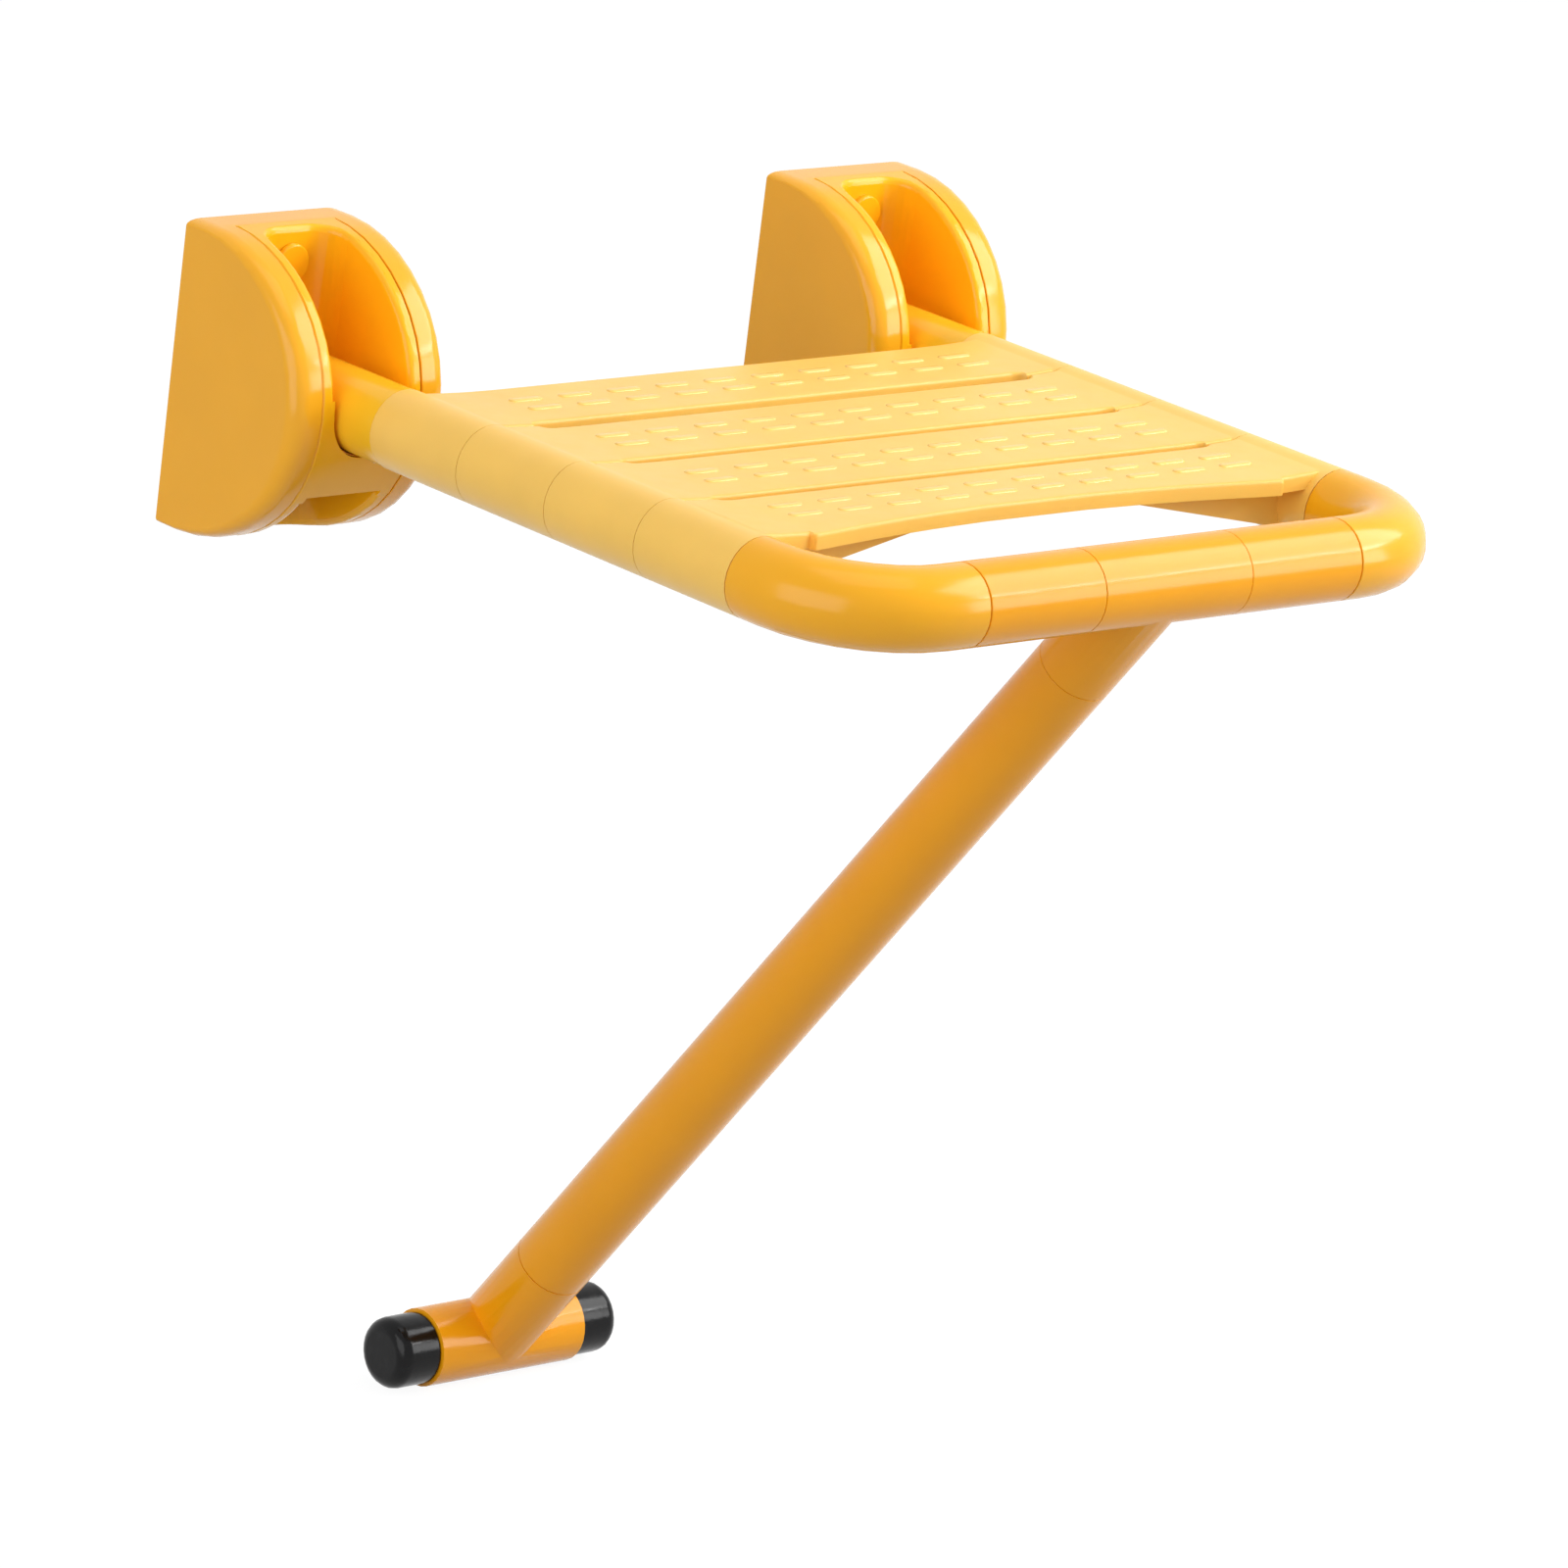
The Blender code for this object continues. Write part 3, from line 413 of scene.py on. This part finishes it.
metal = {
    "stainless_steel": brushed_steel("stainless_steel_finish", (0.62, 0.62, 0.63), 0.28, ALONG_Z),
    # The tube's dark grey is partly painted shade that deepens the joint lines.
    "steel_tube": brushed_steel("steel_tube_finish", (0.20, 0.20, 0.21), 0.34, ALONG_X),
}
print("Steel finishes:", sorted(metal))

# %% Mould the rubber
SCUFF_SCALE = 180.0
RUBBER_BLACK = (0.003, 0.003, 0.0035)
SCUFF_BLACK = (0.012, 0.012, 0.013)
RUBBER_SKIN_SCALE = 260.0
RUBBER_SKIN_DEPTH = 0.0003


def black_rubber(name):
    """Black rubber with a satin skin and pale scuffs."""
    material, tree, shader, place = start_finish(name)
    scuffs = add_noise(tree, place, SCUFF_SCALE, 5.0, 0.65)
    worn = add_range(tree, scuffs, 0.0, 1.0, 0.55, 0.8)
    skin = add_noise(tree, place, RUBBER_SKIN_SCALE, 3.0)
    join_sockets(tree, [
        (add_tint(tree, worn, RUBBER_BLACK, SCUFF_BLACK), shader.inputs["Base Color"]),
        (add_range(tree, scuffs, 0.13, 0.24), shader.inputs["Roughness"]),
        (add_bump(tree, skin, RUBBER_SKIN_DEPTH, 0.25), shader.inputs["Normal"]),
    ])
    shader.inputs["Specular IOR Level"].default_value = 0.2
    return material


rubber = {"foot_rubber": black_rubber("foot_rubber_finish")}
print("Rubber finishes:", sorted(rubber))

# %% [markdown]
# A finish for every part
#
# The bench's record names a material for each of its parts, so the finishes are handed out by
# that list and no part can be forgotten. In it the two hinge arms share the elbows' nylon, but the
# photograph shows them in a clearer yellow, so they get a mix of their own.

# %% Give each part its finish
finishes = {**nylon, **metal, **rubber}
OWN_FINISH = {"hinge_arm_left": "arm_nylon", "hinge_arm_right": "arm_nylon"}

slot_of = {part["node"]: part["material_slot"] for part in frame["record"]["subparts"]}
for name, piece in frame["nodes"].items():
    for holder in piece.material_slots:
        holder.material = finishes[OWN_FINISH.get(name, slot_of[name])]
print("Parts with a finish:", len(slot_of))

# %% [markdown]
# Soft edges
#
# Moulded nylon has no knife edges: every rim is rounded by a few tenths of a millimetre, and that
# rounding is what catches the light along the slots and seams. The rounding could be modelled in
# each part, but a Bevel modifier adds it to the finished shape and leaves the part itself as it
# is. The part arrives as loose triangles, so a Weld joins them and a planar Decimate clears the
# flat ones away first. Weighted normals then keep the big faces flat. The widths stay well below
# the thinnest wall they meet, because a wider bevel would fold over itself there.

# %% Round the edges
EDGE_WIDTH = {
    "bracket_cover": 0.0003, "bracket_core": 0.0003, "slat": 0.0005, "elbow": 0.0004,
    "front_sleeve": 0.0004, "hinge_arm": 0.0009, "leg": 0.0004, "foot_tee": 0.0004,
    "foot_cap": 0.0003, "rest_pad": 0.0001,
}
SMALL_PART_EDGE = 0.0002
EDGE_ANGLE = math.radians(34)
EDGE_STEPS = 3
FLAT_ANGLE = math.radians(0.6)
SAME_PLACE = 0.00001
FLATNESS = 60


def edge_width(name):
    """The rounding for a part, found by how its name starts."""
    return next((width for start, width in EDGE_WIDTH.items() if name.startswith(start)), SMALL_PART_EDGE)


def soften(piece, width):
    """Joins the triangles, clears the flat ones, rounds the edges and evens the shading."""
    weld = piece.modifiers.new("join_corners", "WELD")
    weld.merge_threshold = SAME_PLACE
    clear = piece.modifiers.new("clear_flat_faces", "DECIMATE")
    clear.decimate_type = "DISSOLVE"
    clear.angle_limit = FLAT_ANGLE
    bevel = piece.modifiers.new("round_edges", "BEVEL")
    bevel.width = width
    bevel.segments = EDGE_STEPS
    bevel.limit_method = "ANGLE"
    bevel.angle_limit = EDGE_ANGLE
    bevel.loop_slide = False
    bevel.use_clamp_overlap = True
    smooth = piece.modifiers.new("even_shading", "WEIGHTED_NORMAL")
    smooth.weight = FLATNESS


for name, piece in frame["nodes"].items():
    soften(piece, edge_width(name))
print("Softened parts:", len(frame["nodes"]))

# %% [markdown]
# Grip bars on the slats
#
# The slats carry rows of low raised bars that keep a wet user from sliding. Seen flat, each bar
# is a rounded strip with a domed top. A bump pattern could fake them, but a shape that can be
# felt should be real, so each bar is built as a small closed dome. Its foot follows the slat:
# a ray dropped on the slat's own surface gives the height under every point.

# %% Shape one bar
BAR_LENGTH = 0.0175
BAR_WIDTH = 0.0046
BAR_END_STEPS = 8
CAST_HEIGHT = 0.1

# The share of the half width that a level steps in, and its height over the slat in metres.
DOME_STEPS = [
    (0.0, -0.0002), (0.0, 0.0001), (0.10, 0.000294), (0.28, 0.000518), (0.52, 0.000651), (0.80, 0.0007),
]


def slat_surface(name):
    """A finder for the slat's own surface."""
    mesh = frame["nodes"][name].data
    corners = [v.co.copy() for v in mesh.vertices]
    return BVHTree.FromPolygons(corners, [list(face.vertices) for face in mesh.polygons])


def bar_ring(centre_x, centre_y, half_width):
    """The rounded outline of a bar at one level."""
    reach = BAR_LENGTH / 2 - BAR_WIDTH / 2
    ring = []
    for sign in (1, -1):
        for step in range(BAR_END_STEPS + 1):
            angle = math.pi * (step / BAR_END_STEPS - 0.5)
            x = centre_x + sign * (reach + half_width * math.cos(angle))
            ring.append((x, centre_y + sign * half_width * math.sin(angle)))
    return ring


def add_bar(bm, surface, centre_x, centre_y):
    """One closed dome, built level by level from its foot to its top."""
    rings = []
    for inset, height in DOME_STEPS:
        half_width = BAR_WIDTH / 2 * (1 - inset)
        ring = []
        for x, y in bar_ring(centre_x, centre_y, half_width):
            hit = surface.ray_cast(Vector((x, y, CAST_HEIGHT)), Vector((0, 0, -1)))[0]
            ring.append(bm.verts.new((x, y, hit.z + height)))
        rings.append(ring)
    count = len(rings[0])
    for lower, upper in zip(rings, rings[1:]):
        for here in range(count):
            after = (here + 1) % count
            bm.faces.new((lower[here], lower[after], upper[after], upper[here]))
    bm.faces.new(rings[-1])
    bm.faces.new(list(reversed(rings[0])))


bar_size = (BAR_LENGTH, BAR_WIDTH, DOME_STEPS[-1][1])
print("A bar measures, in millimetres:", [round(v * 1000, 1) for v in bar_size])

# %% Set the rows of bars
BAR_PITCH = 0.027
BAR_COLUMNS = 10
BAR_SHIFT = 0.0055
ROW_OFFSET = 0.00625
SLAT_MIDDLES = {"slat_1": -0.132, "slat_2": -0.188, "slat_3": -0.244, "slat_4": -0.2955}


def grip_bars(slat):
    """Two rows of bars on one slat, as a piece that rides on the seat."""
    surface = slat_surface(slat)
    bm = bmesh.new()
    for row in (-1, 1):
        for column in range(BAR_COLUMNS):
            x = (column - (BAR_COLUMNS - 1) / 2) * BAR_PITCH + BAR_SHIFT
            add_bar(bm, surface, x, SLAT_MIDDLES[slat] + row * ROW_OFFSET)
    for face in bm.faces:
        face.smooth = True
    mesh = bpy.data.meshes.new("grip_bars")
    bm.to_mesh(mesh)
    bm.free()
    piece = bpy.data.objects.new("grip_bars_" + slat[-1], mesh)
    mesh.materials.append(finishes["bar_nylon"])
    scene.collection.objects.link(piece)
    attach(piece, "seat")
    return piece


bars = [grip_bars(slat) for slat in SLAT_MIDDLES]
print("Grip bars:", len(bars) * 2 * BAR_COLUMNS)
